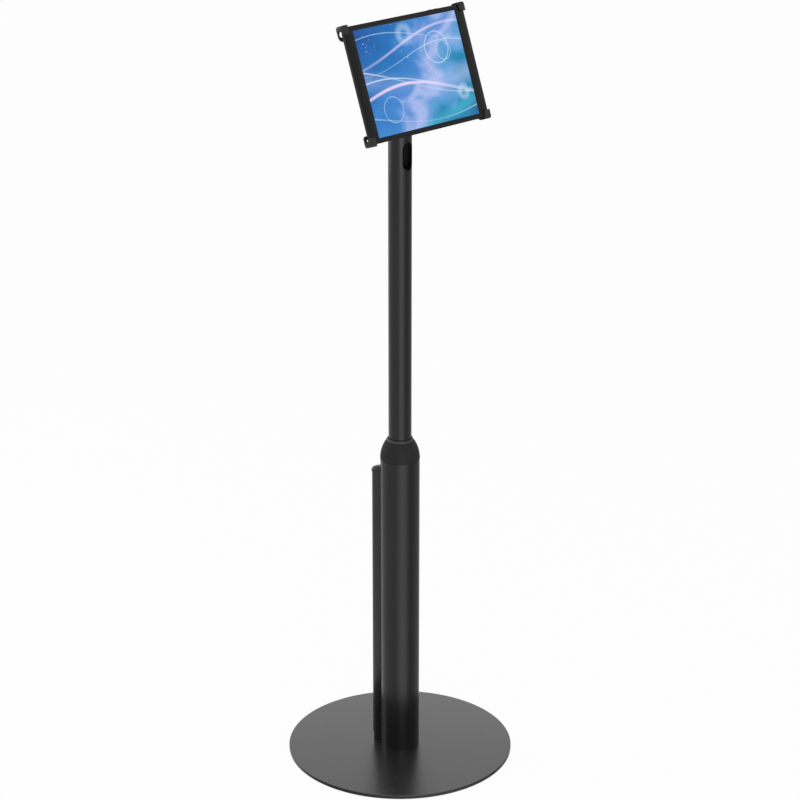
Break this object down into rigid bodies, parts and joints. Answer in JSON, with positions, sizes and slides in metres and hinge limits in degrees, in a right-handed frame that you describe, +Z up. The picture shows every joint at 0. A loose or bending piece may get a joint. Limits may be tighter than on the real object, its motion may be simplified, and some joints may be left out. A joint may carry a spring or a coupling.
{
  "type": "tablet floor stand",
  "caption": "Telescopic floor stand on a round base plate, with a tilting, turning claw holder that grips a tablet by its corners.",
  "frame": {"origin": "centre of the round base plate, on the floor under the rubber feet", "axes": "+Z up along the telescopic tube, -Y towards the person who reads the screen, +X to that person's right"},
  "size_m": [0.35, 0.35, 1.1689],
  "materials": {
    "black_steel": "satin black powder coat",
    "claw_black": "semi-gloss black paint",
    "black_plastic": "fine-grained black moulding",
    "bush_plastic": "smooth black sliding plastic",
    "black_aluminium": "black coated casting",
    "tablet_aluminium": "dark grey anodised, fine blasted",
    "zinc_steel": "zinc plated",
    "spring_steel": "oiled spring steel",
    "rubber": "matt black rubber",
    "bezel_glass": "glossy glass, black behind",
    "display_glass": null,
    "battery_foil": "foil pouch",
    "board_plastic": "circuit board laminate"
  },
  "bodies": {
    "stand": {"base_plate": "black_steel", "rubber_feet": "rubber", "base_bolt": "zinc_steel", "lower_tube": "black_steel", "cable_cover": "black_plastic", "cover_cap": "black_plastic", "cover_clips": "spring_steel", "collet_bush": "bush_plastic"},
    "collar": {"dome_collar": "black_plastic"},
    "slider": {"glide_bush": "bush_plastic"},
    "mast": {"upper_tube": "black_steel", "slot_liner": "rubber", "tilt_yoke": "black_aluminium"},
    "tilt_head": {"tilt_bracket": "black_steel", "tilt_bolt": "zinc_steel", "tilt_nut": "zinc_steel"},
    "holder": {"hub_housing": "black_aluminium", "hub_cover": "black_aluminium", "hub_pads": "rubber", "swivel_bolt": "zinc_steel", "swivel_nut": "zinc_steel", "tablet_shell": "tablet_aluminium", "bezel_glass": "bezel_glass", "display_panel": "display_glass", "battery_cells": "battery_foil", "logic_board": "board_plastic"},
    "power_key": {"power_button": "black_plastic"},
    "volume_down_key": {"volume_down_button": "black_plastic"},
    "volume_up_key": {"volume_up_button": "black_plastic"},
    "arm_top_left": {"arm_top_left": "black_steel", "claw_top_left": "claw_black", "claw_lining_top_left": "rubber"},
    "arm_top_right": {"arm_top_right": "black_steel", "claw_top_right": "claw_black", "claw_lining_top_right": "rubber"},
    "arm_bottom_left": {"arm_bottom_left": "black_steel", "claw_bottom_left": "claw_black", "claw_lining_bottom_left": "rubber"},
    "arm_bottom_right": {"arm_bottom_right": "black_steel", "claw_bottom_right": "claw_black", "claw_lining_bottom_right": "rubber"}
  },
  "joints": [
    {"name": "collar_turn", "type": "hinge", "parent": "stand", "child": "collar", "pos_m": [0, 0, 0.4895], "axis": [0, 0, 1], "range_deg": [0, 90]},
    {"name": "mast_height", "type": "slide", "parent": "stand", "child": "slider", "axis": [0, 0, 1], "range_m": [-0.34, 0.036]},
    {"name": "mast_turn", "type": "hinge", "parent": "slider", "child": "mast", "pos_m": [0, 0, 0.3802], "axis": [0, 0, 1], "range_deg": [-170, 170]},
    {"name": "head_tilt", "type": "hinge", "parent": "mast", "child": "tilt_head", "pos_m": [0, 0, 1.0743], "axis": [-1, 0, 0], "range_deg": [-20, 50]},
    {"name": "holder_turn", "type": "hinge", "parent": "tilt_head", "child": "holder", "pos_m": [0, 0, 1.0743], "axis": [0, -0.9397, 0.342], "range_deg": [-90, 90]},
    {"name": "arm_slide_top_left", "type": "slide", "parent": "holder", "child": "arm_top_left", "axis": [-0.8204, 0.1956, 0.5374], "range_m": [0, 0.025]},
    {"name": "arm_slide_top_right", "type": "slide", "parent": "holder", "child": "arm_top_right", "axis": [0.8204, 0.1956, 0.5374], "range_m": [0, 0.025]},
    {"name": "arm_slide_bottom_left", "type": "slide", "parent": "holder", "child": "arm_bottom_left", "axis": [-0.8204, -0.1956, -0.5374], "range_m": [0, 0.025]},
    {"name": "arm_slide_bottom_right", "type": "slide", "parent": "holder", "child": "arm_bottom_right", "axis": [0.8204, -0.1956, -0.5374], "range_m": [0, 0.025]},
    {"name": "power_key_press", "type": "slide", "parent": "holder", "child": "power_key", "axis": [-1, 0, 0], "range_m": [0, 0.0005], "stiffness_N_per_m": 400},
    {"name": "volume_down_key_press", "type": "slide", "parent": "holder", "child": "volume_down_key", "axis": [0, -0.342, -0.9397], "range_m": [0, 0.0005], "stiffness_N_per_m": 400},
    {"name": "volume_up_key_press", "type": "slide", "parent": "holder", "child": "volume_up_key", "axis": [0, -0.342, -0.9397], "range_m": [0, 0.0005], "stiffness_N_per_m": 400}
  ]
}
